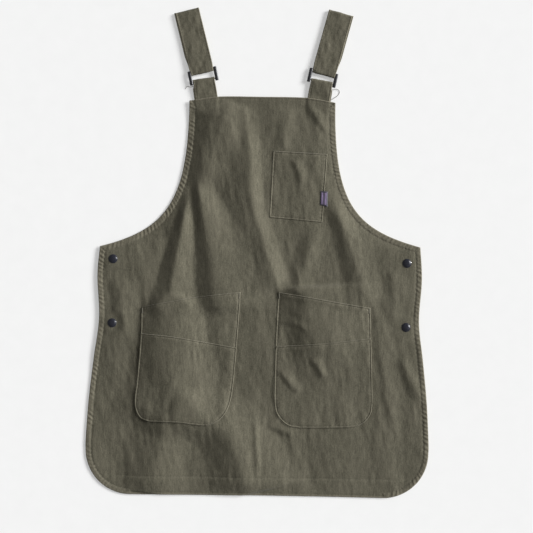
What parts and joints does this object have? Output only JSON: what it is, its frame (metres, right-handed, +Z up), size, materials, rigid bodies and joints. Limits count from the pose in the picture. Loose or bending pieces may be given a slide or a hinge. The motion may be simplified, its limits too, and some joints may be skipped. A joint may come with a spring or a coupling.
{
  "type": "bib apron",
  "caption": "Canvas bib apron laid flat, front up, with hip and chest patch pockets, slider-adjusted shoulder straps and side snaps to a back band.",
  "frame": {"origin": "middle of the base of the apron's box, on the surface it lies on", "axes": "+Z up out of the front, +Y toward the shoulder straps, +X to the right as seen from the front"},
  "size_m": [0.5654, 0.804, 0.0091],
  "materials": {
    "canvas": "washed canvas, olive grey",
    "label": "woven label, violet with a dark border",
    "thread": "grey sewing thread",
    "slider_black": "satin black enamel",
    "snap_black": "gloss black enamel",
    "snap_steel": "plain pressed steel"
  },
  "bodies": {
    "back": {"back_band": "canvas", "snap_stud_upper_left": "snap_steel", "snap_post_upper_left": "snap_steel", "snap_stud_lower_left": "snap_steel", "snap_post_lower_left": "snap_steel", "snap_stud_upper_right": "snap_steel", "snap_post_upper_right": "snap_steel", "snap_stud_lower_right": "snap_steel", "snap_post_lower_right": "snap_steel"},
    "front": {"apron_panel": "canvas", "bib_facing": "canvas", "chest_pocket": "canvas", "woven_label": "label", "loose_thread": "thread", "armhole_facing_left": "canvas", "hip_pocket_back_left": "canvas", "hip_pocket_front_left": "canvas", "tab_left": "canvas", "strap_front_left": "canvas", "strap_tail_left": "canvas", "strap_rear_left": "canvas", "snap_cap_upper_left": "snap_black", "snap_socket_upper_left": "snap_steel", "snap_cap_lower_left": "snap_black", "snap_socket_lower_left": "snap_steel", "armhole_facing_right": "canvas", "hip_pocket_back_right": "canvas", "hip_pocket_front_right": "canvas", "tab_right": "canvas", "strap_front_right": "canvas", "strap_tail_right": "canvas", "strap_rear_right": "canvas", "snap_cap_upper_right": "snap_black", "snap_socket_upper_right": "snap_steel", "snap_cap_lower_right": "snap_black", "snap_socket_lower_right": "snap_steel"},
    "slider_left": {"slider_left": "slider_black", "strap_loop_left": "canvas"},
    "slider_right": {"slider_right": "slider_black", "strap_loop_right": "canvas"}
  },
  "joints": [
    {"name": "snaps_open", "type": "slide", "parent": "back", "child": "front", "axis": [0, 0, 1], "range_m": [0, 0.03]},
    {"name": "slider_right_rock", "type": "hinge", "parent": "front", "child": "slider_right", "pos_m": [0.09679, 0.28168, 0.0056], "axis": [0.9767, -0.2147, 0], "range_deg": [0, 15]},
    {"name": "slider_left_rock", "type": "hinge", "parent": "front", "child": "slider_left", "pos_m": [-0.09679, 0.28168, 0.0056], "axis": [0.9767, 0.2147, 0], "range_deg": [0, 15]}
  ]
}
